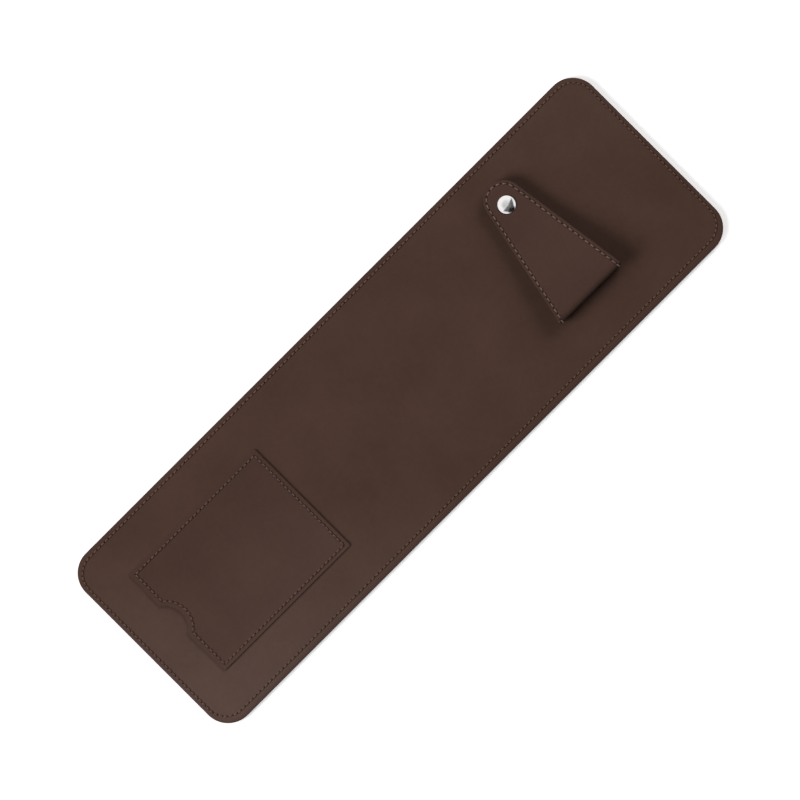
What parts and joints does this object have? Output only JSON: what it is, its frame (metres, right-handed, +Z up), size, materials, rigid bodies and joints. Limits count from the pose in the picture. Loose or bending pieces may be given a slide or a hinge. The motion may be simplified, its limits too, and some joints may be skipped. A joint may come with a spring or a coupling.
{
  "type": "leather pen pad",
  "caption": "Long rounded leather desk pad for fountain pens, edge-stitched, with a notched card pocket and a fold-over pen loop closed by a snap button.",
  "frame": {"origin": "bottom centre of the pad, on the surface it lies on", "axes": "+X along the pad from the card pocket to the pen loop, +Y across it towards the loop's tip, +Z up"},
  "size_m": [0.36, 0.115, 0.0135],
  "materials": {
    "face_leather": "smooth, matt full-grain leather, dark brown",
    "back_leather": "matt leather, darker brown",
    "board": "bonded leather board, edge painted brown",
    "thread": "waxed polyester sewing thread, brown",
    "loop_thread": "waxed polyester sewing thread, lighter brown",
    "lining": "thin suede lining, brown",
    "nickel": "polished nickel plate"
  },
  "bodies": {
    "pad": {"pad_face": "face_leather", "pad_core": "board", "pad_back": "back_leather", "pad_thread": "thread", "back_thread": "thread", "pocket_panel": "face_leather", "pocket_lining": "lining", "pocket_thread": "thread", "base_leather": "face_leather", "base_lining": "lining", "base_thread": "loop_thread", "fold_leather": "face_leather", "fold_lining": "lining", "fold_thread": "loop_thread", "snap_stud": "nickel", "snap_post": "nickel"},
    "flap": {"flap_leather": "face_leather", "flap_lining": "lining", "flap_thread": "loop_thread", "snap_cap": "nickel", "snap_socket": "nickel", "snap_spring": "nickel"}
  },
  "joints": [
    {"name": "flap_hinge", "type": "hinge", "parent": "pad", "child": "flap", "pos_m": [0.106, -0.0298, 0.008], "axis": [1, 0, 0], "range_deg": [0, 120], "deforming": ["fold_leather", "fold_lining", "fold_thread"]}
  ]
}
